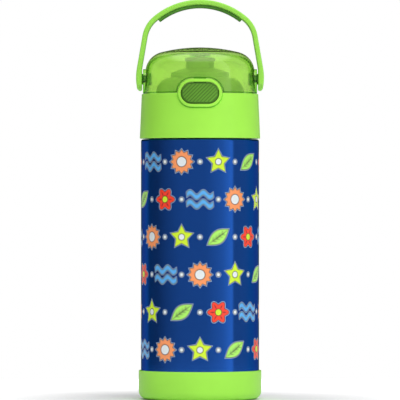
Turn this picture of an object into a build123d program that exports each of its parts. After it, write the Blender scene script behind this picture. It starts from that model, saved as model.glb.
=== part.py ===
"""Kids' vacuum drinking bottle with a screw lid, a flip cover, a push-button latch and a bail handle.

Millimetres. Origin: centre of the flat underside. +Z is up, -Y is the front (the button's side), +X is right.
"""
from build123d import *
from math import cos, radians, sin, sqrt, tan
import os

# ---- driving dimensions ----
BODY_R = 37.0  # painted steel body
STEEL = 0.6  # every steel wall
VACUUM_GAP = 2.2
SHOULDER_Z = 162.6
LIP_Z = 179.0
NECK_R = 29.0
MOUTH_R = 26.0
BOOT_R = 38.4
BOOT_TOP_Z = 18.0
BOOT_FLOOR = 2.15
FIT_GAP = 0.05  # between pieces that are pushed together
THREAD_PITCH = 4.0
THREAD_TURNS = 1.75

COLLAR_BOTTOM_Z = 163.1
COLLAR_TOP_Z = 191.0
COLLAR_BOTTOM_R = 37.75
COLLAR_TOP_R = 36.5
COLLAR_WALL = 1.8
COVER_BOTTOM_Z = 191.35
COVER_BOTTOM_R = 35.5
COVER_TOP_Z = 220.2
COVER_WALL = 1.8

BUTTON_Z = 191.0  # centre of the button
BEZEL_W, BEZEL_H = 27.5, 17.5
BORE_W, BORE_H = 24.0, 13.8
BEZEL_FACE_R = 38.1
BEZEL_BACK_Y = -33.4
BUTTON_GAP = 0.5
BUTTON_TRAVEL = 1.6

HINGE_Y, HINGE_Z = 38.3, 192.6
HINGE_PIN_R = 1.1
KNUCKLE_R = 2.7
KNUCKLE_CLEAR = 0.5

PIVOT_Z = 200.3  # handle's pivot axis, along X
PIVOT_FACE_X = 35.7
LEG_INNER_X = 36.35
STUD_R = 2.2
STRAP_T = 3.2
STRAP_W = 13.6
LEG_BULGE_X = 40.05
ARCH_R = 45.1  # outer radius of the arch's top
ARCH_TOP_Z = 250.0
ARCH_Z = ARCH_TOP_Z - ARCH_R  # centre of the arch's top
CORNER_R = 20.0
LEG_LEAN = radians(9.8)
LEG_THIN_Z = 211.0
LEG_FOOT = (39.55, 207.0)  # outer face, where the leaning leg meets the upright end

SPOUT_R = 9.2
SPOUT_BORE_R = 6.8
SPOUT_TOP_Z = 212.5
DECK_TOP_Z = 207.2


# ---- helpers ----
def turned(face):
    """Solid of revolution about Z of a face drawn as (radius, height)."""
    return revolve(Plane.XZ * face, Axis.Z)


def outline(*points):
    return make_face(Polyline(*points, close=True))


def rounded(face, *corners):
    """The face with its corners at each (r, z) rounded: corners are ((r, z), radius)."""
    for (r, z), radius in corners:
        vertex = face.vertices().sort_by_distance((r, z, 0))[0]
        face = fillet(vertex, radius)
    return face


def ring(inner_r, outer_r, low, high):
    return Pos(0, 0, low) * extrude(Circle(outer_r) - Circle(inner_r), high - low)


def disc(radius, low, high):
    return Pos(0, 0, low) * extrude(Circle(radius), high - low)


def block(low, high):
    """Box between two corners."""
    size = [high[i] - low[i] for i in range(3)]
    middle = [(high[i] + low[i]) / 2 for i in range(3)]
    return Pos(*middle) * Box(*size)


def rod_x(radius, x_low, x_high, y, z):
    return Pos((x_low + x_high) / 2, y, z) * Rot(0, 90, 0) * Cylinder(radius, x_high - x_low)


def stadium(width, height, y_front, y_back):
    """Slot-shaped bar along Y, centred on the button."""
    face = Plane((0, y_front, BUTTON_Z), x_dir=(1, 0, 0), z_dir=(0, 1, 0)) * SlotOverall(width, height)
    return extrude(face, y_back - y_front)


def slice_x(face, x_low, x_high):
    """A face drawn as (y, z), extruded along X."""
    return extrude(Plane((x_low, 0, 0), x_dir=(0, 1, 0), z_dir=(1, 0, 0)) * face, x_high - x_low)


def slice_y(face, half_width):
    """A face drawn as (x, z), extruded along Y to both sides."""
    return extrude(Plane((0, half_width, 0), x_dir=(1, 0, 0), z_dir=(0, -1, 0)) * face, 2 * half_width)


def thread(root_r, crest_r, low, turns, turn_offset=0.0):
    """Helical ridge of the lid's thread, standing out of (or into) a wall at root_r."""
    root_w, crest_w = 1.7, 0.8
    path = Helix(THREAD_PITCH, THREAD_PITCH * turns, (root_r + crest_r) / 2)
    ridge = outline((root_r, -root_w / 2), (crest_r, -crest_w / 2), (crest_r, crest_w / 2),
                    (root_r, root_w / 2))
    swept = sweep(Plane.XZ * ridge, path=path, is_frenet=True)
    return Pos(0, 0, low) * Rot(0, 0, 360 * turn_offset) * swept


def coil(mean_r, wire_r, turns, length):
    """Coil spring along Z from the origin."""
    path = Helix(length / turns, length, mean_r)
    start = Plane(path @ 0, z_dir=path % 0)
    return sweep(start * Circle(wire_r), path=path, is_frenet=True)


# ---- vacuum body ----
def outer_shell():
    bottom = BOOT_FLOOR + FIT_GAP
    wall_r, neck_in = BODY_R - STEEL, NECK_R - STEEL
    face = outline(
        (BODY_R, bottom), (BODY_R, SHOULDER_Z), (NECK_R, SHOULDER_Z), (NECK_R, LIP_Z), (MOUTH_R, LIP_Z),
        (MOUTH_R, LIP_Z - STEEL), (neck_in, LIP_Z - STEEL), (neck_in, SHOULDER_Z - STEEL),
        (wall_r, SHOULDER_Z - STEEL), (wall_r, bottom),
    )
    face = rounded(
        face, ((BODY_R, SHOULDER_Z), 1.3), ((wall_r, SHOULDER_Z - STEEL), 0.7), ((NECK_R, SHOULDER_Z), 0.5),
        ((neck_in, SHOULDER_Z - STEEL), 1.1), ((NECK_R, LIP_Z), 0.5),
    )
    return turned(face) + thread(NECK_R - 0.1, NECK_R + 1.3, 167.5, THREAD_TURNS)


def inner_liner():
    out_r = BODY_R - STEEL - VACUUM_GAP
    in_r = out_r - STEEL
    floor, top, waist, throat = 6.0, LIP_Z - STEEL, 154.0, 160.6
    neck_r = MOUTH_R + STEEL
    face = outline(
        (0, floor), (out_r, floor), (out_r, waist), (neck_r, throat), (neck_r, top), (MOUTH_R, top),
        (MOUTH_R, throat), (in_r, waist), (in_r, floor + STEEL), (0, floor + STEEL),
    )
    face = rounded(
        face, ((out_r, floor), 6.0), ((in_r, floor + STEEL), 5.4), ((out_r, waist), 5.4),
        ((in_r, waist), 4.8), ((neck_r, throat), 4.0), ((MOUTH_R, throat), 4.6),
    )
    return turned(face)


def base_plate():
    low, rim_r = BOOT_FLOOR + FIT_GAP, BODY_R - STEEL - FIT_GAP
    dish, dish_r = 1.2, 19.0
    return turned(outline(
        (0, low + dish), (dish_r - 1, low + dish), (dish_r, low), (rim_r, low), (rim_r, low + 3),
        (rim_r - STEEL, low + 3), (rim_r - STEEL, low + STEEL), (dish_r + 0.3, low + STEEL),
        (dish_r - 0.7, low + dish + STEEL), (0, low + dish + STEEL),
    ))


def getter():
    """Small getter ring on the base plate, inside the vacuum."""
    plate_top = BOOT_FLOOR + FIT_GAP + 1.2 + STEEL
    return ring(1.2, 4.0, plate_top, plate_top + 1.0)


def base_boot():
    in_r = BODY_R + FIT_GAP
    face = outline((0, 0), (BOOT_R, 0), (BOOT_R, BOOT_TOP_Z), (in_r, BOOT_TOP_Z), (in_r, BOOT_FLOOR),
                   (0, BOOT_FLOOR))
    face = rounded(face, ((BOOT_R, 0), 5.0), ((BOOT_R, BOOT_TOP_Z), 0.6), ((in_r, BOOT_TOP_Z), 0.3))
    boot = turned(face)
    for groove_r in (20.0, 24.0, 28.0):
        boot -= ring(groove_r, groove_r + 1.2, 0, 0.5)
    return boot


# ---- lid ----
GASKET_LOW, GASKET_HIGH = LIP_Z + FIT_GAP, LIP_Z + 1.85
CORE_PLATE = (GASKET_HIGH + FIT_GAP, 183.0)
CORE_R = 32.6
CHIMNEY_TOP = 199.0
PLUG_R = 24.4


def mouth_gasket():
    lip_in, lip_out, flange_r = PLUG_R + FIT_GAP, PLUG_R + 1.1, NECK_R - 0.3
    return turned(outline(
        (lip_in, 176.4), (lip_out, 177.2), (lip_out, GASKET_LOW), (flange_r, GASKET_LOW),
        (flange_r, GASKET_HIGH), (lip_in, GASKET_HIGH),
    ))


def lid_core():
    sleeve_in = CORE_R - 1.7
    core = ring(sleeve_in, CORE_R, 165.0, CORE_PLATE[1])
    core += ring(8.0, CORE_R, *CORE_PLATE)
    core += ring(PLUG_R - 1.6, PLUG_R, 175.6, CORE_PLATE[1])
    core += ring(8.0, 10.2, CORE_PLATE[0], CHIMNEY_TOP)
    return core + thread(sleeve_in + 0.1, sleeve_in - 1.4, 169.5, 1.5)


def lid_collar():
    slope = (COLLAR_BOTTOM_R - COLLAR_TOP_R) / (COLLAR_TOP_Z - COLLAR_BOTTOM_Z)
    ledge_z = COLLAR_TOP_Z - COLLAR_WALL
    inner_low_r = COLLAR_BOTTOM_R - COLLAR_WALL
    inner_high_r = inner_low_r - slope * (ledge_z - COLLAR_BOTTOM_Z)
    ledge_r, seat_low = 31.0, CORE_PLATE[1] + 0.1
    face = outline(
        (COLLAR_BOTTOM_R, COLLAR_BOTTOM_Z), (COLLAR_TOP_R, COLLAR_TOP_Z), (ledge_r, COLLAR_TOP_Z),
        (ledge_r, seat_low), (CORE_R, seat_low), (CORE_R, ledge_z), (inner_high_r, ledge_z),
        (inner_low_r, COLLAR_BOTTOM_Z),
    )
    face = rounded(face, ((COLLAR_TOP_R, COLLAR_TOP_Z), 0.6), ((COLLAR_BOTTOM_R, COLLAR_BOTTOM_Z), 0.4))
    collar = turned(face)
    bezel = stadium(BEZEL_W, BEZEL_H, -40, BEZEL_BACK_Y) & Pos(0, 0, BUTTON_Z) * Cylinder(BEZEL_FACE_R, 30)
    front_edges = bezel.edges().filter_by(
        lambda e: (e @ 0.5).Y < -35.2 and abs(Vector((e @ 0.5).X, (e @ 0.5).Y).length - BEZEL_FACE_R) < 0.01)
    bezel = fillet(front_edges, 0.5)
    collar += bezel
    groove = stadium(BEZEL_W + 1.2, BEZEL_H + 1.2, -45, -30) - stadium(BEZEL_W, BEZEL_H, -46, -29)
    collar -= groove & ring(36.1, 45, 175, COLLAR_TOP_Z + 1)
    collar -= stadium(BORE_W, BORE_H, -45, BEZEL_BACK_Y + 1)
    collar -= block((-13.2, BEZEL_BACK_Y, 183.6), (13.2, -20, 205))
    # hinge: a notch for the cover's knuckles and the spring, between two ears
    collar -= rod_x(KNUCKLE_R + KNUCKLE_CLEAR, -10.3, 10.3, HINGE_Y, HINGE_Z)
    ear = outline((34.2, COLLAR_TOP_Z), (34.2, 181.0), (36.6, 181.0), (HINGE_Y + 2.6, HINGE_Z - 0.6),
                  (HINGE_Y, HINGE_Z))
    for side in (-1, 1):
        low, high = sorted((side * 10.5, side * 14.2))
        collar += slice_x(ear, low, high)
        collar += rod_x(KNUCKLE_R, low, high, HINGE_Y, HINGE_Z)
    return collar - rod_x(HINGE_PIN_R + 0.01, -15, 15, HINGE_Y, HINGE_Z)


def lid_deck():
    """Domed drinking deck that shows through the cover. Its front is cut away for the latch."""
    flange_r, low, step_r, step_z = 30.9, COLLAR_TOP_Z - 1.6, 18.2, 201.4

    def dome(base_r, base_z, inner_r, inner_z, *upper):
        """Filled dome: a quarter-round shoulder from base to step, then the given points."""
        mid = (inner_r + (base_r - inner_r) * sqrt(0.5), base_z + (inner_z - base_z) * sqrt(0.5))
        curve = ThreePointArc((base_r, base_z), mid, (inner_r, inner_z))
        return curve + Polyline((inner_r, inner_z), *upper)

    outside = dome(27.6, COLLAR_TOP_Z, step_r, step_z, (step_r, 204.2), (SPOUT_R + 0.6, DECK_TOP_Z),
                   (0, DECK_TOP_Z), (0, low), (flange_r, low), (flange_r, COLLAR_TOP_Z), (27.6, COLLAR_TOP_Z))
    inside = dome(26.0, low, step_r - 1.6, step_z - 1.8, (step_r - 1.6, 203.0), (0, 203.0), (0, low),
                  (26.0, low))
    solid = turned(make_face(outside))
    deck = solid - turned(make_face(inside)) - disc(SPOUT_R + 0.1, 200, 210)
    deck -= block((-13.2, -32, 184), (13.2, -22.0, 204))
    back_wall = block((-13.2, -22.0, low), (13.2, -20.6, 204)) & solid
    return deck + back_wall + block((-6, -22.0, 184.6), (6, -20.6, low + 1))


def spout():
    return turned(rounded(
        outline((SPOUT_BORE_R, 201.0), (12.0, 201.0), (12.0, 202.9), (SPOUT_R, 202.9),
                (SPOUT_R - 0.5, SPOUT_TOP_Z), (SPOUT_BORE_R, SPOUT_TOP_Z)),
        ((SPOUT_R - 0.5, SPOUT_TOP_Z), 0.9), ((SPOUT_BORE_R, SPOUT_TOP_Z), 0.6),
    ))


def spout_o_ring():
    return turned(Pos(9.6, 200.0) * Circle(0.98))


def hinge_pin():
    return rod_x(HINGE_PIN_R, -14.2, 14.2, HINGE_Y, HINGE_Z)


def hinge_spring():
    """Torsion spring's coil round the pin."""
    mean_r, wire_r, turns, length = 1.85, 0.3, 5, 5.0
    return Pos(-length / 2, HINGE_Y, HINGE_Z) * Rot(0, 90, 0) * coil(mean_r, wire_r, turns, length)


# ---- button ----
def button_pad():
    cap_w, cap_h = BORE_W - 2 * BUTTON_GAP, BORE_H - 2 * BUTTON_GAP
    cap = stadium(cap_w, cap_h, -40, -30)
    face_r, back_r = 37.3, 36.2
    pad = cap & ring(back_r, face_r, BUTTON_Z - 10, BUTTON_Z + 10)
    # raised diagonal ribs
    pitch, width, proud = 2.3, 1.0, 0.4
    inner = stadium(cap_w - 1.6, cap_h - 1.6, -40, -30)
    inner &= ring(back_r + 0.2, face_r + proud, BUTTON_Z - 10, BUTTON_Z + 10)
    for step in range(-7, 8):
        bar = Pos(step * pitch, -36, BUTTON_Z) * Rot(0, 45, 0) * Box(width, 6, 30)
        rib = inner & bar
        if rib and rib.volume > 0.01:
            pad += rib
    return pad


def latch_button():
    cap_w, cap_h = BORE_W - 2 * BUTTON_GAP, BORE_H - 2 * BUTTON_GAP
    plate = stadium(cap_w, cap_h, -40, -30) & ring(35.3, 36.15, BUTTON_Z - 10, BUTTON_Z + 10)
    plate += block((-9, -34.8, 185.2), (9, -31.4, 192.4)) & stadium(cap_w, cap_h, -40, -30)
    # flange that stops it against the bezel's back, and the stem of the hook
    plate += block((-12.4, -33.2, 184.6), (12.4, -31.4, 192.8))
    plate += block((-4, -31.4, 186.0), (4, -29.6, 195.6))
    hook = outline((-31.35, 196.2), (-30.5, 195.4), (-29.6, 195.4), (-29.6, 198.2), (-30.7, 198.2),
                   (-31.35, 197.4))
    plate += slice_x(hook, -4, 4)
    plate -= block((-4, -31.5, 193.0), (4, -30.7, 196.0))
    spring_peg = Pos(0, -28.9, 188.8) * Rot(90, 0, 0) * Cylinder(1.6, 1.6)
    return plate + spring_peg


def button_spring():
    """Drawn at its pressed length, so it stands short of the deck's wall by the button's travel."""
    length, turns = 4.8 - BUTTON_TRAVEL, 3.5
    return Pos(0, -27.25, 188.8) * Rot(-90, 0, 0) * coil(2.4, 0.3, turns, length)


# ---- flip cover ----
def cover_profile(inset):
    """Half of the dome's outline, set in by inset: base radius, side, shoulder and crown."""
    crown_r, draft = 100.0 - inset, 0.0925
    top = COVER_TOP_Z - inset
    shoulder_r = 13.0 - inset
    # centre of the shoulder arc: inside the crown's circle and the leaning side
    crown_c = (0.0, top - crown_r)
    side_n = (-1 / sqrt(1 + draft ** 2), -draft / sqrt(1 + draft ** 2))
    side_u = (draft / sqrt(1 + draft ** 2) * -1, 1 / sqrt(1 + draft ** 2))
    start = (COVER_BOTTOM_R + side_n[0] * inset, COVER_BOTTOM_Z + side_n[1] * inset)
    base = (start[0] + side_n[0] * shoulder_r, start[1] + side_n[1] * shoulder_r)
    dx, dz = base[0] - crown_c[0], base[1] - crown_c[1]
    along = dx * side_u[0] + dz * side_u[1]
    reach = crown_r - shoulder_r
    t = -along + sqrt(along ** 2 - (dx ** 2 + dz ** 2 - reach ** 2))
    centre = (base[0] + side_u[0] * t, base[1] + side_u[1] * t)
    side_end = (centre[0] - side_n[0] * shoulder_r, centre[1] - side_n[1] * shoulder_r)
    out = ((centre[0] - crown_c[0]) / reach, (centre[1] - crown_c[1]) / reach)
    crown_end = (crown_c[0] + out[0] * crown_r, crown_c[1] + out[1] * crown_r)
    mid = (out[0] - side_n[0], out[1] - side_n[1])
    size = sqrt(mid[0] ** 2 + mid[1] ** 2)
    shoulder_mid = (centre[0] + mid[0] / size * shoulder_r, centre[1] + mid[1] / size * shoulder_r)
    crown_mid_x = crown_end[0] / 2
    crown_mid = (crown_mid_x, crown_c[1] + sqrt(crown_r ** 2 - crown_mid_x ** 2))
    # the side runs straight down to the cover's rim
    rim = (side_end[0] + draft * (side_end[1] - COVER_BOTTOM_Z), COVER_BOTTOM_Z)
    curve = Line((0, COVER_BOTTOM_Z), rim) + Line(rim, side_end)
    curve += ThreePointArc(side_end, shoulder_mid, crown_end)
    curve += ThreePointArc(crown_end, crown_mid, (0, top)) + Line((0, top), (0, COVER_BOTTOM_Z))
    return make_face(curve)


def flip_cover():
    solid = turned(cover_profile(0.0))
    hollow = turned(cover_profile(COVER_WALL))
    cover = solid - hollow
    # flat pads for the handle's pivots
    for side in (-1, 1):
        low, high = sorted((side * 32.1, side * PIVOT_FACE_X))
        cover += rod_x(6.3, low, high, 0, PIVOT_Z) + block((low, -6.3, COVER_BOTTOM_Z), (high, 6.3, PIVOT_Z))
    # seal holder under the crown
    holder = block((-6.3, -6.3, 215.1), (6.3, 6.3, COVER_TOP_Z - 0.8))
    cover += fillet(holder.edges().filter_by(Axis.Z), 1.0) - Pos(0, 0, 216.3) * Cylinder(3.05, 2.6)
    cover -= stadium(BEZEL_W + 1.2, BEZEL_H + 1.2, -45, -25)
    # latch catch behind the bezel
    catch = outline((-33.3, 204.0), (-33.3, 194.4), (-32.2, 194.4), (-31.6, 195.0), (-31.6, 195.5),
                    (-32.1, 195.9), (-32.1, 204.0))
    cover += slice_x(catch, -3.8, 3.8)
    # hinge knuckles and the room for the lid's ears and the spring
    arm = outline((HINGE_Y, HINGE_Z - 0.4), (34.9, 192.0), (34.4, 198.0), (35.3, 198.0),
                  (HINGE_Y + 2.2, HINGE_Z + 1.6))
    for low, high in ((-14.5, -10.2), (-4.4, 4.4), (10.2, 14.5)):
        cover -= rod_x(KNUCKLE_R + KNUCKLE_CLEAR, low, high, HINGE_Y, HINGE_Z)
    for side in (-1, 1):
        low, high = sorted((side * 4.6, side * 10.0))
        cover += slice_x(arm, low, high)
        cover += rod_x(KNUCKLE_R, low, high, HINGE_Y, HINGE_Z)
    cover -= rod_x(HINGE_PIN_R + 0.08, -15, 15, HINGE_Y, HINGE_Z)
    return cover - rod_x(STUD_R + 0.06, -45, 45, 0, PIVOT_Z)


def cover_seal():
    return turned(outline(
        (0, 210.4), (4.0, 210.4), (5.2, SPOUT_TOP_Z + FIT_GAP), (9.4, SPOUT_TOP_Z + FIT_GAP), (9.4, 214.4),
        (8.8, 215.0), (3.0, 215.0), (3.0, 217.4), (0, 217.4),
    ))


# ---- handle ----
def handle_outline():
    """Half of the bail's band in the XZ plane, as a face: arch, corner, leaning leg and upright end."""
    up = (-sin(LEG_LEAN), cos(LEG_LEAN))
    inward = (-cos(LEG_LEAN), -sin(LEG_LEAN))
    base = (LEG_FOOT[0] + inward[0] * CORNER_R, LEG_FOOT[1] + inward[1] * CORNER_R)
    dx, dz = base[0], base[1] - ARCH_Z
    along = dx * up[0] + dz * up[1]
    reach = ARCH_R - CORNER_R
    t = -along + sqrt(along ** 2 - (dx ** 2 + dz ** 2 - reach ** 2))
    centre = (base[0] + up[0] * t, base[1] + up[1] * t)
    out = (centre[0] / reach, (centre[1] - ARCH_Z) / reach)
    mid = (out[0] - inward[0], out[1] - inward[1])
    size = sqrt(mid[0] ** 2 + mid[1] ** 2)

    def side(inset):
        arch_r, corner_r = ARCH_R - inset, CORNER_R - inset
        half = sqrt((1 + out[1]) / 2)
        half_x = sqrt(1 - half ** 2)
        top = (0, ARCH_Z + arch_r)
        arch_mid = (arch_r * half_x, ARCH_Z + arch_r * half)
        arch_end = (out[0] * arch_r, ARCH_Z + out[1] * arch_r)
        corner_mid = (centre[0] + mid[0] / size * corner_r, centre[1] + mid[1] / size * corner_r)
        corner_end = (centre[0] - inward[0] * corner_r, centre[1] - inward[1] * corner_r)
        return top, arch_mid, arch_end, corner_mid, corner_end

    o, i = side(0.0), side(STRAP_T)
    end_z = PIVOT_Z - 7.4
    # the leg thins towards its end, to clear the cover's pad
    thin_x = LEG_FOOT[0] - STRAP_T / cos(LEG_LEAN) - (LEG_THIN_Z - LEG_FOOT[1]) * tan(LEG_LEAN)
    curve = ThreePointArc(o[0], o[1], o[2]) + ThreePointArc(o[2], o[3], o[4]) + Line(o[4], LEG_FOOT)
    foot_x = LEG_FOOT[0] - 0.25
    curve += ThreePointArc(LEG_FOOT, (LEG_BULGE_X, PIVOT_Z + 0.4), (foot_x, end_z + 1.2))
    curve += Polyline((foot_x, end_z + 1.2), (foot_x - 1.1, end_z), (LEG_INNER_X + 0.6, end_z),
                      (LEG_INNER_X, end_z + 0.6), (LEG_INNER_X, LEG_THIN_Z - 4.5), (thin_x, LEG_THIN_Z), i[4])
    curve += ThreePointArc(i[4], i[3], i[2]) + ThreePointArc(i[2], i[1], i[0]) + Line(i[0], o[0])
    return make_face(curve)


def arch_sector(inner_r, outer_r, half_angle, half_width):
    """A curved bar under the arch's top."""

    def at(radius, angle):
        return radius * sin(radians(angle)), ARCH_Z + radius * cos(radians(angle))

    low = [at(inner_r, angle) for angle in (-half_angle, 0, half_angle)]
    high = [at(outer_r, angle) for angle in (half_angle, 0, -half_angle)]
    curve = ThreePointArc(*low) + Line(low[2], high[0]) + ThreePointArc(*high) + Line(high[2], low[0])
    return slice_y(make_face(curve), half_width)


GRIP_HALF_ANGLE = 38.7
GRIP_HALF_WIDTH = 5.2
GRIP_TOP_R = ARCH_R - STRAP_T + 0.8
GRIP_LOW_R = ARCH_R - STRAP_T - 1.9


def carry_handle():
    half = slice_y(handle_outline(), STRAP_W / 2)
    band = half + mirror(half, Plane.YZ)
    long_edges = band.edges().filter_by(
        lambda e: all(abs(abs((e @ t).Y) - STRAP_W / 2) < 1e-3 for t in (0, 0.5, 1)))
    band = fillet(long_edges, 1.0)
    # the legs end in a round around the pivot
    straight = 60.0
    side_view = Pos(0, PIVOT_Z + straight / 2) * Rectangle(STRAP_W + 1, straight)
    band &= slice_x(side_view + Pos(0, PIVOT_Z) * Circle(7.4), -45, 45)
    band -= arch_sector(GRIP_LOW_R - 3, GRIP_TOP_R, GRIP_HALF_ANGLE, GRIP_HALF_WIDTH + 0.02)
    for side in (-1, 1):
        band -= rod_x(STUD_R + 0.01, *sorted((side * 35, side * 38.6)), 0, PIVOT_Z)
    return band


def handle_grip():
    grip = arch_sector(GRIP_LOW_R, GRIP_TOP_R - 0.02, GRIP_HALF_ANGLE - 0.05, GRIP_HALF_WIDTH)
    lower = grip.edges().filter_by(
        lambda e: Vector((e @ 0.5).X, (e @ 0.5).Z - ARCH_Z).length < GRIP_LOW_R + 0.6)
    return fillet(lower, 0.7)


def handle_stud(side):
    stud = rod_x(STUD_R, *sorted((side * 31.8, side * 38.5)), 0, PIVOT_Z)
    return stud + rod_x(3.9, *sorted((side * 30.6, side * 32.05)), 0, PIVOT_Z)


def pivot_washer(side):
    faces = sorted((side * (PIVOT_FACE_X + 0.03), side * (LEG_INNER_X - 0.02)))
    return rod_x(3.35, *faces, 0, PIVOT_Z) - rod_x(STUD_R + 0.01, *faces, 0, PIVOT_Z)


PARTS = {
    "outer_shell": outer_shell, "inner_liner": inner_liner, "base_plate": base_plate, "vacuum_getter": getter,
    "base_boot": base_boot, "mouth_gasket": mouth_gasket, "lid_core": lid_core, "lid_collar": lid_collar,
    "lid_deck": lid_deck, "spout": spout, "spout_o_ring": spout_o_ring, "hinge_pin": hinge_pin,
    "hinge_spring": hinge_spring, "button_pad": button_pad, "latch_button": latch_button,
    "button_spring": button_spring, "flip_cover": flip_cover, "cover_seal": cover_seal,
    "carry_handle": carry_handle, "handle_grip": handle_grip,
    "handle_stud_left": lambda: handle_stud(-1), "handle_stud_right": lambda: handle_stud(1),
    "pivot_washer_left": lambda: pivot_washer(-1), "pivot_washer_right": lambda: pivot_washer(1),
}

os.makedirs("parts", exist_ok=True)
for name, make in PARTS.items():
    export_step(make(), f"parts/{name}.step")
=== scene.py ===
"""Looks of the kids' vacuum bottle: materials, the printed coat of paint, camera, light and floor."""
import bpy
import bmesh
import math
from math import cos, radians, sin
import numpy as np
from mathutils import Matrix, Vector
from mathutils.geometry import delaunay_2d_cdt


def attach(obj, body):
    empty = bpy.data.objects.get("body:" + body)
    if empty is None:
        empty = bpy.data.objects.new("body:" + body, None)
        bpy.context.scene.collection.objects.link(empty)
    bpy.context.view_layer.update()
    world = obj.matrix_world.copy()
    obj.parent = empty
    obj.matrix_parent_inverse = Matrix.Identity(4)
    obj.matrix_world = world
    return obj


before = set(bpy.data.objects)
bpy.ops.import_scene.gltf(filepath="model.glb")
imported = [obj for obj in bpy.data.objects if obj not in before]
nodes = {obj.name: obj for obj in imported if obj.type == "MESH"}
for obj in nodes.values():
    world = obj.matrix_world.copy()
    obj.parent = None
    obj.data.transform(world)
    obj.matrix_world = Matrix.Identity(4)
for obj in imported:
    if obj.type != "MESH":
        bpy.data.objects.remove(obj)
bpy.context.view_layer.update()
MM = 0.001

# ---------------------------------------------------------------- materials


def rgb(r, g, b):
    """Linear colour from 0-255 display values."""
    linear = (((c / 255 + 0.055) / 1.055) ** 2.4 if c > 10 else c / 255 / 12.92 for c in (r, g, b))
    return tuple(linear) + (1.0,)


def shaded(color, factor):
    return tuple(min(1.0, c * factor) for c in color[:3]) + (1.0,)


EDGE_BLUR = 1e-4  # half the width over which a tint fades in, in metres


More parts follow.
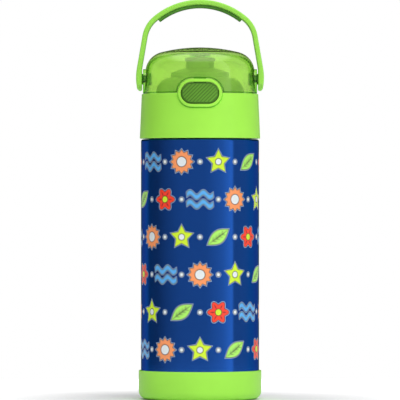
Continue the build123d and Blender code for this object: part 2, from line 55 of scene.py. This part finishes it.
class Look:
    """A Principled material with fine variation in colour, roughness and relief."""

    def __init__(self, name, color, rough, vary=0.06, vary_scale=60, grain=1800, bump=0.02, bump_mm=0.02,
                 rough_vary=0.05, stretch=(1, 1, 1), **sockets):
        self.mat = bpy.data.materials.new(name)
        self.mat.use_nodes = True
        self.tree = self.mat.node_tree
        self.shader = self.tree.nodes["Principled BSDF"]
        self.coords = self.add("ShaderNodeTexCoord")
        self.map = self.add("ShaderNodeMapping")
        self.map.inputs["Scale"].default_value = stretch
        self.link(self.coords.outputs["Object"], self.map.inputs["Vector"])
        self.shader.inputs["Base Color"].default_value = color
        self.shader.inputs["Roughness"].default_value = rough
        for key, value in sockets.items():
            self.shader.inputs[key.replace("_", " ")].default_value = value
        self.mat.diffuse_color = color
        broad = self.noise(vary_scale, 3)
        fine = self.noise(grain, 2)
        tint = self.ramp(broad, [(0.3, shaded(color, 1 - vary)), (0.7, shaded(color, 1 + vary))])
        self.link(tint, self.shader.inputs["Base Color"])
        self.color_out = tint
        if rough_vary:
            spread = self.add("ShaderNodeMapRange")
            spread.inputs["To Min"].default_value = max(0.02, rough - rough_vary)
            spread.inputs["To Max"].default_value = rough + rough_vary
            self.link(fine, spread.inputs["Value"])
            self.link(spread.outputs["Result"], self.shader.inputs["Roughness"])
        self.bump = self.add("ShaderNodeBump")
        self.bump.inputs["Strength"].default_value = bump
        self.bump.inputs["Distance"].default_value = bump_mm * MM
        self.link(fine, self.bump.inputs["Height"])
        self.link(self.bump.outputs["Normal"], self.shader.inputs["Normal"])

    def add(self, kind):
        return self.tree.nodes.new(kind)

    def link(self, a, b):
        self.tree.links.new(a, b)

    def noise(self, scale, detail):
        node = self.add("ShaderNodeTexNoise")
        node.inputs["Scale"].default_value = scale
        node.inputs["Detail"].default_value = detail
        self.link(self.map.outputs["Vector"], node.inputs["Vector"])
        return node.outputs["Fac"]

    def vector(self, operation, *values):
        node = self.add("ShaderNodeVectorMath")
        node.operation = operation
        for socket, value in zip(node.inputs, values):
            if isinstance(value, tuple):
                socket.default_value = value
            else:
                self.link(value, socket)
        return node.outputs["Value" if operation == "LENGTH" else "Vector"]

    def tint_within(self, size, edge, tint):
        """Multiply the colour by the tint where the size is under the edge."""
        inside = self.add("ShaderNodeMapRange")
        inside.inputs["From Min"].default_value = edge + EDGE_BLUR
        inside.inputs["From Max"].default_value = edge - EDGE_BLUR
        self.link(size, inside.inputs["Value"])
        mix = self.add("ShaderNodeMixRGB")
        mix.blend_type = "MULTIPLY"
        mix.inputs["Color2"].default_value = tint
        self.link(inside.outputs[0], mix.inputs["Fac"])
        self.link(self.color_out, mix.inputs["Color1"])
        self.color_out = mix.outputs[0]
        self.link(self.color_out, self.shader.inputs["Base Color"])

    def tint_near_axis(self, radius, tint):
        flat = self.vector("MULTIPLY", self.coords.outputs["Object"], (1.0, 1.0, 0.0))
        self.tint_within(self.vector("LENGTH", flat), radius, tint)

    def tint_below(self, height, tint):
        place = self.add("ShaderNodeSeparateXYZ")
        self.link(self.coords.outputs["Object"], place.inputs[0])
        self.tint_within(place.outputs["Z"], height, tint)

    def tint_past_sides(self, half_width, tint):
        """Tint what stands further than this to the left or right."""
        spread = self.vector("ABSOLUTE", self.coords.outputs["Object"])
        spread = self.vector("MULTIPLY", spread, (-1.0, 0.0, 0.0))
        place = self.add("ShaderNodeSeparateXYZ")
        self.link(spread, place.inputs[0])
        self.tint_within(place.outputs["X"], -half_width, tint)

    def tint_round_bezel(self, centre_z, half_length, radius, tint):
        """Tint the front face within a distance of the bezel's middle line: painted shade in the groove round
        the button.
        """
        place = self.vector("SUBTRACT", self.coords.outputs["Object"], (0.0, 0.0, centre_z))
        right = self.vector("SUBTRACT", place, (half_length, 0.0, 0.0))
        left = self.vector("MULTIPLY_ADD", place, (-1.0, 0.0, -1.0), (-half_length, 0.0, 0.0))
        gap = self.vector("MAXIMUM", self.vector("MAXIMUM", right, left), (0.0, 0.0, 0.0))
        self.tint_within(self.vector("LENGTH", gap), radius, tint)

    def glow_outwards(self, start, end, strength):
        """Emission that grows with the distance from the origin."""
        size = self.add("ShaderNodeVectorMath")
        size.operation = "LENGTH"
        self.link(self.coords.outputs["Object"], size.inputs[0])
        glow = self.add("ShaderNodeMapRange")
        glow.interpolation_type = "SMOOTHSTEP"
        glow.inputs["From Min"].default_value, glow.inputs["From Max"].default_value = start, end
        glow.inputs["To Max"].default_value = strength
        self.link(size.outputs["Value"], glow.inputs["Value"])
        self.link(glow.outputs[0], self.shader.inputs["Emission Strength"])

    def absorb(self, color, density):
        """Tint the light by how far it runs inside the piece."""
        volume = self.add("ShaderNodeVolumeAbsorption")
        volume.inputs["Color"].default_value = color
        volume.inputs["Density"].default_value = density
        self.link(volume.outputs[0], self.tree.nodes["Material Output"].inputs["Volume"])

    def ramp(self, value, stops):
        node = self.add("ShaderNodeValToRGB")
        points = node.color_ramp.elements
        for i, (place, color) in enumerate(stops):
            point = points[i] if i < 2 else points.new(place)
            point.position, point.color = place, color
        self.link(value, node.inputs["Fac"])
        return node.outputs["Color"]


LIME = (0.40, 0.93, 0.082, 1.0)


def paint(name, color, metallic=0.0):
    """Ink or paint under one clear coat."""
    return Look("paint_" + name, color, 0.3, vary=0.03, grain=900, bump=0.05, bump_mm=0.02, Metallic=metallic,
                Coat_Weight=0.25, Coat_Roughness=0.08).mat


paint_blue = Look("paint_blue", (0.020, 0.114, 0.51, 1), 0.13, vary=0.02, vary_scale=25, grain=900, bump=0.04,
                  bump_mm=0.02, rough_vary=0.02, Metallic=0.92, Specular_Tint=(0.04, 0.34, 0.55, 1)).mat
lime = Look("lime_plastic", LIME, 0.36, vary=0.025, bump=0.12, bump_mm=0.03, Specular_IOR_Level=0.4).mat
lime_soft = Look("lime_boot", shaded(LIME, 0.92), 0.42, vary=0.03, bump=0.16, bump_mm=0.04,
                 Specular_IOR_Level=0.35).mat
handle_lime = Look("handle_lime", (0.37, 0.86, 0.095, 1), 0.34, vary=0.025, bump=0.12, bump_mm=0.03).mat
cover = Look("cover_green", (0.76, 0.97, 0.40, 1), 0.08, vary=0.02, bump=0.04, rough_vary=0.02, IOR=1.49,
             Metallic=0.08, Specular_IOR_Level=0.8, Transmission_Weight=1.0)
PAD_START_X = 0.0349
COVER_LIP_Z = 0.1920  # a little above the cover's lower edge
BUTTON_Z = 0.191  # height of the bezel's centre
BEZEL_HALF, BEZEL_EDGE = 0.005, 0.0099  # half of its middle line, and how far from that the tint reaches
RIB_FOOT_R = 0.03748  # distance from the axis between the grooves' floors and the ribs' tops
cover.tint_past_sides(PAD_START_X, (0.45, 0.72, 0.25, 1))  # the pads for the handle's pivots
cover.absorb((0.50, 0.83, 0.05, 1), 130)
SEAM_SHADE_TINT = (0.30, 0.62, 0.10, 1)  # painted shade: the seam line at the cover's lower edge and the groove round the button's bezel are darkened
cover.tint_below(COVER_LIP_Z, SEAM_SHADE_TINT)
cover.tint_round_bezel(BUTTON_Z, BEZEL_HALF, BEZEL_EDGE, SEAM_SHADE_TINT)
cover_green = cover.mat
deck_green = Look("deck_green", rgb(222, 246, 186), 0.3, vary=0.04, bump=0.08).mat
# the button's colour is lifted 1.3 times as painted light on the ribs' tops
button = Look("button_green", shaded(rgb(92, 148, 42), 1.3), 0.45, vary=0.06, bump=0.3, bump_mm=0.04)
button.tint_near_axis(RIB_FOOT_R, (0.55, 0.55, 0.55, 1))  # painted shade: grooves darker than the ribs' tops
button_green = button.mat
grip_green = Look("grip_green", rgb(84, 150, 44), 0.55, vary=0.08, bump=0.4, bump_mm=0.05).mat
stud_green = Look("stud_green", rgb(140, 206, 84), 0.4, vary=0.05, bump=0.1).mat
latch_green = Look("latch_green", rgb(70, 128, 40), 0.45, vary=0.05, bump=0.1).mat
# the pivot washers' dark green is painted shade of the narrow gap between the handle's legs and the cover's
# pads
washer_painted_shade_green = Look("washer_painted_shade_green", rgb(84, 150, 44), 0.45, vary=0.05, bump=0.1).mat
silicone = Look("silicone", rgb(222, 230, 214), 0.5, vary=0.03, bump=0.15, Subsurface_Weight=0.2,
                Subsurface_Scale=0.002).mat
white_plastic = Look("core_plastic", rgb(214, 222, 208), 0.42, vary=0.03, bump=0.12).mat
steel = Look("brushed_steel", (0.60, 0.60, 0.61, 1), 0.3, vary=0.08, vary_scale=40, grain=700, bump=0.25,
             bump_mm=0.02, rough_vary=0.1, stretch=(1, 1, 14), Metallic=1.0).mat
spring_steel = Look("spring_steel", (0.42, 0.42, 0.44, 1), 0.28, vary=0.1, grain=3000, bump=0.1,
                    Metallic=1.0).mat

LOOKS = {
    "outer_shell": steel, "inner_liner": steel, "base_plate": steel, "vacuum_getter": steel,
    "hinge_pin": steel, "hinge_spring": spring_steel, "button_spring": spring_steel,
    "base_boot": lime_soft, "lid_collar": lime,
    "lid_core": white_plastic, "lid_deck": deck_green, "spout": deck_green, "mouth_gasket": silicone,
    "spout_o_ring": silicone, "cover_seal": silicone, "flip_cover": cover_green, "button_pad": button_green,
    "latch_button": latch_green, "carry_handle": handle_lime, "handle_grip": grip_green,
    "handle_stud_left": stud_green, "handle_stud_right": stud_green,
    "pivot_washer_left": washer_painted_shade_green, "pivot_washer_right": washer_painted_shade_green,
}
for name, look in LOOKS.items():
    mesh = nodes[name].data
    mesh.materials.clear()
    mesh.materials.append(look)

# ---------------------------------------------------------------- printed pattern
# Motifs are plain figures drawn by formula, in millimetres about their own centre: x to the right, y up.
# Each is a list of (ink, outline) layers, drawn in order.

INKS = {
    "rim": rgb(150, 168, 196), "dark": rgb(14, 20, 34), "white": rgb(232, 238, 240),
    "yellow": rgb(212, 242, 50), "red": rgb(250, 66, 42), "orange": rgb(252, 156, 98),
    "lime": rgb(176, 242, 106), "sky": rgb(94, 178, 240),
}


def grown(points, distance):
    """The closed outline moved outwards, with its sharp corners cut short."""
    p = np.array(points, float)
    nxt, prv = np.roll(p, -1, 0), np.roll(p, 1, 0)
    area = np.sum(p[:, 0] * nxt[:, 1] - nxt[:, 0] * p[:, 1])
    turn = 1 if area > 0 else -1

    def normals(v):
        n = np.stack([v[:, 1], -v[:, 0]], 1) * turn
        return n / np.maximum(np.linalg.norm(n, axis=1, keepdims=True), 1e-9)

    mid = normals(nxt - p) + normals(p - prv)
    size = np.maximum(np.linalg.norm(mid, axis=1, keepdims=True), 0.9)
    return p + mid / size * distance * np.minimum(2 / size, 1.6)


def sticker(outline, ink, *details, edge=0.32, rim=0.75):
    """A filled outline with a dark edge and a pale rim, and details on top."""
    outline = np.array(outline, float)
    return [("rim", grown(outline, rim)), ("dark", grown(outline, edge)), (ink, outline), *details]


def line(points, width, ink="dark"):
    """An open stroke that tapers to both ends."""
    p = np.array(points, float)
    along = np.gradient(p, axis=0)
    along /= np.maximum(np.linalg.norm(along, axis=1, keepdims=True), 1e-9)
    side = np.stack([-along[:, 1], along[:, 0]], 1)
    w = width / 2 * (0.25 + 0.75 * np.sin(np.linspace(0.1, math.pi - 0.1, len(p))))[:, None]
    return ink, np.concatenate([p + side * w, (p - side * w)[::-1]])


def oval(x, y, rx, ry, ink="dark", tilt=0.0, n=18):
    a = np.linspace(0, 2 * math.pi, n, endpoint=False)
    px, py = rx * np.cos(a), ry * np.sin(a)
    return ink, np.stack([x + px * cos(tilt) - py * sin(tilt), y + px * sin(tilt) + py * cos(tilt)], 1)


MOTIF_R = 7.4  # half the width of one motif


def burst(ink, count, waist):
    """A star with the given number of points, and a disc in its middle."""
    step = np.arange(2 * count)
    a = step * math.pi / count + math.pi / 2
    r = np.where(step % 2 == 0, MOTIF_R, MOTIF_R * waist)
    outline = np.stack([r * np.cos(a), r * np.sin(a)], 1)
    core = MOTIF_R * waist * 0.6
    middle = oval(0, 0, core - 0.4, core - 0.4, "white", n=28)
    return sticker(outline, ink, oval(0, 0, core, core, n=28), middle)


def flower(ink):
    """Six round petals about a pale middle."""
    a = np.linspace(0, 2 * math.pi, 72, endpoint=False)
    r = MOTIF_R * (0.78 + 0.16 * np.cos(6 * a))
    core = MOTIF_R * 0.26
    folds = [line([(reach * cos(b), reach * sin(b)) for reach in (2.6, 3.8, 5.2)], 0.5)
             for b in (i * math.pi / 3 for i in range(6))]
    return sticker(np.stack([r * np.cos(a), r * np.sin(a)], 1), ink, *folds,
                   oval(0, 0, core + 0.4, core + 0.4, n=24), oval(0, 0, core, core, "yellow", n=24))


def leaf(ink):
    """A pointed leaf along x with a midrib and side veins."""
    t = np.linspace(0, 1, 21)
    x, y = MOTIF_R * 1.1 * (2 * t - 1), MOTIF_R * 0.52 * np.sin(math.pi * t)
    outline = np.concatenate([np.stack([x, y], 1), np.stack([x, -y], 1)[-2:0:-1]])
    veins = [line([(start, 0), (start + 0.8, side * 0.9), (start + 1.8, side * 1.7)], 0.45)
             for start in (-4.4, -2.0, 0.4, 2.8) for side in (-1, 1)]
    return sticker(outline, ink, line([(-7.2, 0), (0, 0), (7.2, 0)], 0.6), *veins)


def waves(ink):
    """Two wavy bands, one above the other."""
    x = np.linspace(-1.1, 1.1, 41) * MOTIF_R
    layers = []
    for middle in (-2.9, 2.9):
        y = middle + 1.4 * np.sin(x / MOTIF_R * 1.8 * math.pi)
        layers += sticker(np.concatenate([np.stack([x, y + 1.3], 1), np.stack([x, y - 1.3], 1)[::-1]]), ink)
    return layers


BODY_R = 37.0  # the steel body's radius, and the height of its printed part
COAT_R = BODY_R + 0.03
COAT_LOW, COAT_HIGH = 15.0, 161.3


COLUMNS, ROWS = 10, 6
PRINT_LOW, PRINT_HIGH = 20.0, 160.0  # the heights between which the motifs are spread


def placed(layers, angle, height, turn=0.0):
    """A motif on the unrolled body: x is the arc length from the front, y the height."""
    c, s = cos(radians(turn)), sin(radians(turn))
    centre = [radians(angle) * BODY_R, height]
    return [(ink, np.array(points, float) @ np.array([[c, s], [-s, c]]) + centre) for ink, points in layers]


def pattern():
    """The print: a staggered grid of plain figures all round the body, with a dot in each gap."""
    figures = [(burst("yellow", 5, 0.5), 0), (leaf("lime"), 35), (flower("red"), 0), (waves("sky"), 0),
               (burst("orange", 12, 0.76), 0)]
    dot = sticker(oval(0, 0, 1.1, 1.1)[1], "white")
    art = []
    for row in range(ROWS):
        height = PRINT_LOW + (row + 0.5) * (PRINT_HIGH - PRINT_LOW) / ROWS
        for column in range(COLUMNS):
            angle = (column + 0.5 * (row % 2)) * 360 / COLUMNS
            figure, turn = figures[(column + 2 * row) % len(figures)]
            art += placed(figure, angle, height, turn)
            art += placed(dot, angle + 180 / COLUMNS, height)
    return art


def covered(points, outline):
    """Which points lie inside a closed outline, by winding number."""
    wind = np.zeros(len(points), int)
    x, y = points[:, 0], points[:, 1]
    for (x0, y0), (x1, y1) in zip(outline, np.roll(outline, -1, 0)):
        side = (x1 - x0) * (y - y0) - (x - x0) * (y1 - y0)
        wind += ((y0 <= y) & (y1 > y) & (side > 0)).astype(int)
        wind -= ((y0 > y) & (y1 <= y) & (side < 0)).astype(int)
    return wind != 0


def unrolled_mesh(layers):
    """Triangles of the unrolled print, with the ink's index on each (0 is bare paint)."""
    half = math.pi * BODY_R
    coords, edges = [], []
    columns, rows = 120, 12
    for i in range(columns + 1):
        first = len(coords)
        for j in range(rows + 1):
            coords.append((-half + 2 * half * i / columns, COAT_LOW + (COAT_HIGH - COAT_LOW) * j / rows))
        edges += [(first + j, first + j + 1) for j in range(rows)]
        if i:
            edges += [(first - rows - 1, first), (first - 1, first + rows)]
    wrapped = []
    for ink, outline in layers:
        for shift in (-2 * half, 0, 2 * half):
            moved = outline + [shift, 0]
            moved[:, 1] = np.clip(moved[:, 1], COAT_LOW + 1, COAT_HIGH - 0.4)
            if moved[:, 0].max() > -half and moved[:, 0].min() < half:
                wrapped.append((ink, moved))
    for ink, outline in wrapped:
        first = len(coords)
        coords += [tuple(p) for p in outline]
        edges += [(first + k, first + (k + 1) % len(outline)) for k in range(len(outline))]
    points, _, faces, *_ = delaunay_2d_cdt([Vector(c) for c in coords], edges, [], 0, 1e-5)
    points = np.array([tuple(p) for p in points])
    faces = np.array([f for f in faces if len(f) == 3])
    centres = points[faces].mean(1)
    keep = (np.abs(centres[:, 0]) < half) & (centres[:, 1] > COAT_LOW) & (centres[:, 1] < COAT_HIGH)
    faces, centres = faces[keep], centres[keep]
    inks = list(INKS)
    found = np.zeros(len(faces), int)
    for ink, outline in wrapped:
        low, high = outline.min(0), outline.max(0)
        near = np.where(np.all((centres >= low) & (centres <= high), axis=1))[0]
        if len(near):
            found[near[covered(centres[near], outline)]] = 1 + inks.index(ink)
    return points, faces, found


def paint_coat():
    """The coat of paint with its print: one closed skin from inside the boot to the shoulder's flat."""
    points, faces, inks = unrolled_mesh(pattern())
    bm = bmesh.new()
    verts = {}

    def corner(i):
        if i not in verts:
            a = points[i][0] / BODY_R
            verts[i] = bm.verts.new((COAT_R * sin(a) * MM, -COAT_R * cos(a) * MM, points[i][1] * MM))
        return verts[i]

    for face, ink in zip(faces, inks):
        made = bm.faces.new([corner(i) for i in face])
        made.material_index = int(ink)
    bmesh.ops.remove_doubles(bm, verts=bm.verts, dist=2e-6)
    # carry the skin over the rounded shoulder, along its flat, and back down inside
    round_r = 1.33
    path = [(COAT_R - round_r * (1 - cos(radians(t))), COAT_HIGH + round_r * sin(radians(t)))
            for t in (18, 36, 54, 72, 90)]
    path += [(31.0, COAT_HIGH + round_r), (31.0, COAT_HIGH + round_r - 0.3), (COAT_R - 0.3, COAT_HIGH - 0.2)]

    def rim(height):
        ring = [v for v in bm.verts if abs(v.co.z - height * MM) < 1e-7]
        return sorted(ring, key=lambda v: math.atan2(v.co.x, -v.co.y))

    def ring_at(like, r, z):
        out = []
        for v in like:
            a = math.atan2(v.co.x, -v.co.y)
            out.append(bm.verts.new((r * sin(a) * MM, -r * cos(a) * MM, z * MM)))
        return out

    def bridge(low, high):
        n = len(low)
        for k in range(n):
            bm.faces.new((low[k], low[(k + 1) % n], high[(k + 1) % n], high[k]))

    last = rim(COAT_HIGH)
    top = last
    bottom = rim(COAT_LOW)
    for r, z in path:
        nxt = ring_at(top, r, z)
        bridge(last, nxt)
        last = nxt
    inner_low = ring_at(bottom, COAT_R - 0.3, COAT_LOW)
    assert len(top) == len(bottom), (len(top), len(bottom))
    bridge(last, inner_low)
    bridge(inner_low, bottom)
    bmesh.ops.recalc_face_normals(bm, faces=bm.faces)
    mesh = bpy.data.meshes.new("paint_coat")
    bm.to_mesh(mesh)
    bm.free()
    mesh.materials.append(paint_blue)
    for ink, color in INKS.items():
        mesh.materials.append(paint(ink, color))
    normals = []
    for poly in mesh.polygons:
        poly.use_smooth = True
        centre = poly.center
        on_wall = math.hypot(centre.x, centre.y) > (COAT_R - 0.15) * MM
        on_shoulder = centre.z > (COAT_HIGH + 0.1) * MM and poly.normal.z > 0
        for i in poly.loop_indices:
            co = mesh.vertices[mesh.loops[i].vertex_index].co
            out = Vector((co.x, co.y, 0)).normalized()
            if not (on_wall or on_shoulder):
                normals.append(poly.normal.copy())
            elif co.z <= (COAT_HIGH + 0.01) * MM:
                normals.append(out)
            else:
                rise = min(1.0, (co.z / MM - COAT_HIGH) / round_r)
                normals.append((out * math.sqrt(1 - rise * rise) + Vector((0, 0, rise))).normalized())
    mesh.normals_split_custom_set(normals)
    coat = bpy.data.objects.new("paint_coat", mesh)
    bpy.context.collection.objects.link(coat)
    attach(coat, "bottle")
    return coat


coat = paint_coat()

# ---------------------------------------------------------------- camera, floor and light

DISTANCE, EYE, VIEW_WIDTH = 3.0, 0.1246, 0.2508
cam = bpy.data.objects.new("camera", bpy.data.cameras.new("camera"))
bpy.context.collection.objects.link(cam)
cam.location = (0, -DISTANCE, EYE)
cam.rotation_euler = (radians(90), 0, 0)
cam.data.sensor_width = 36
cam.data.lens = 36 * DISTANCE / VIEW_WIDTH
cam.data.clip_end = 50
bpy.context.scene.camera = cam

floor_mesh = bpy.data.meshes.new("floor")
FLOOR_R = 0.34
FLOOR_SIDES = 90
floor_ring = [(FLOOR_R * sin(a), FLOOR_R * cos(a), 0)
              for a in (radians(k * 360 / FLOOR_SIDES) for k in range(FLOOR_SIDES))]
floor_mesh.from_pydata(floor_ring, [], [tuple(range(FLOOR_SIDES - 1, -1, -1))])
floor = bpy.data.objects.new("floor", floor_mesh)
floor.location.z = -0.0002
bpy.context.collection.objects.link(floor)
floor_look = Look("floor", (0.9, 0.9, 0.9, 1), 0.9, vary=0.01, grain=300, bump=0.01)
floor_look.shader.inputs["Emission Color"].default_value = (1, 1, 1, 1)
floor_look.glow_outwards(0.05, 0.2, 0.5)  # the floor's outer part melts into the white studio
floor_mesh.materials.append(floor_look.mat)


def studio():
    """A white studio: brightness by direction round the horizon, white where it is looked at directly."""
    world = bpy.data.worlds.new("studio")
    bpy.context.scene.world = world
    world.use_nodes = True
    tree = world.node_tree
    tree.nodes.clear()
    add = tree.nodes.new

    def calc(op, a, b=None):
        node = add("ShaderNodeMath")
        node.operation = op
        for i, v in enumerate((a, b)):
            if v is None:
                continue
            if isinstance(v, (int, float)):
                node.inputs[i].default_value = v
            else:
                tree.links.new(v, node.inputs[i])
        return node.outputs[0]

    split = add("ShaderNodeSeparateXYZ")
    tree.links.new(add("ShaderNodeTexCoord").outputs["Generated"], split.inputs[0])
    # 0 behind on the left, 0.5 towards the camera's side, 1 behind on the right
    bearing = calc("ARCTAN2", split.outputs["X"], calc("MULTIPLY", split.outputs["Y"], -1))
    around = calc("ADD", calc("MULTIPLY", bearing, 0.5 / math.pi), 0.5)
    ramp = add("ShaderNodeValToRGB")
    stops = [(-180, 0.2), (-166, 0.24), (-146, 0.52), (-128, 0.48), (-116, 0.13), (-92, 0.12),
             (-64, 0.26), (-38, 0.36), (12, 0.38), (44, 0.60), (66, 1.0), (69, 0.33), (100, 0.38),
             (135, 0.46), (150, 0.5), (166, 0.24), (180, 0.2)]
    points = ramp.color_ramp.elements
    for i, (angle, value) in enumerate(stops):
        point = points[i] if i < 2 else points.new((angle + 180) / 360)
        point.position, point.color = (angle + 180) / 360, (value, value, value, 1)
    tree.links.new(around, ramp.inputs["Fac"])

    def fade(value, start, end):
        node = add("ShaderNodeMapRange")
        node.interpolation_type = "SMOOTHSTEP"
        node.inputs["From Min"].default_value, node.inputs["From Max"].default_value = start, end
        tree.links.new(value, node.inputs["Value"])
        return node.outputs[0]

    def mixed(factor, below, level):
        node = add("ShaderNodeMixRGB")
        node.inputs["Color2"].default_value = (level, level, level, 1)
        tree.links.new(factor, node.inputs["Fac"])
        tree.links.new(below, node.inputs["Color1"])
        return node.outputs[0]

    # a dark card high behind, and evenly bright overhead
    card = calc("MULTIPLY", fade(split.outputs["Z"], 0.03, 0.12), fade(split.outputs["Y"], 0.3, 0.7))
    light = mixed(card, ramp.outputs["Color"], 0.02)
    light = mixed(fade(split.outputs["Z"], 0.72, 0.9), light, 1.5)
    shine, white = add("ShaderNodeBackground"), add("ShaderNodeBackground")
    pick, out = add("ShaderNodeMixShader"), add("ShaderNodeOutputWorld")
    tree.links.new(light, shine.inputs["Color"])
    shine.inputs["Strength"].default_value = 1.0
    white.inputs["Color"].default_value = (1, 1, 1, 1)
    path = add("ShaderNodeLightPath")
    seen = calc("MAXIMUM", path.outputs["Is Camera Ray"], path.outputs["Is Transmission Ray"])
    tree.links.new(seen, pick.inputs["Fac"])
    tree.links.new(shine.outputs[0], pick.inputs[1])
    tree.links.new(white.outputs[0], pick.inputs[2])
    tree.links.new(pick.outputs[0], out.inputs["Surface"])


studio()


def softbox(name, azimuth, elevation, distance, width, height, power):
    lamp = bpy.data.lights.new(name, "AREA")
    lamp.shape, lamp.size, lamp.size_y, lamp.energy = "RECTANGLE", width, height, power
    obj = bpy.data.objects.new(name, lamp)
    bpy.context.collection.objects.link(obj)
    a, e = radians(azimuth), radians(elevation)
    towards = Vector((sin(a) * cos(e), -cos(a) * cos(e), sin(e)))
    obj.location = towards * distance + Vector((0, 0, 0.12))
    obj.rotation_euler = (-towards).to_track_quat("-Z", "Y").to_euler()
    obj.visible_glossy = False
    obj.visible_transmission = False


softbox("key", 16, 45, 2.2, 1.6, 0.8, 22)

scene = bpy.context.scene
scene.view_settings.view_transform = "Standard"
scene.view_settings.look = "None"
scene.view_settings.exposure = 0.0
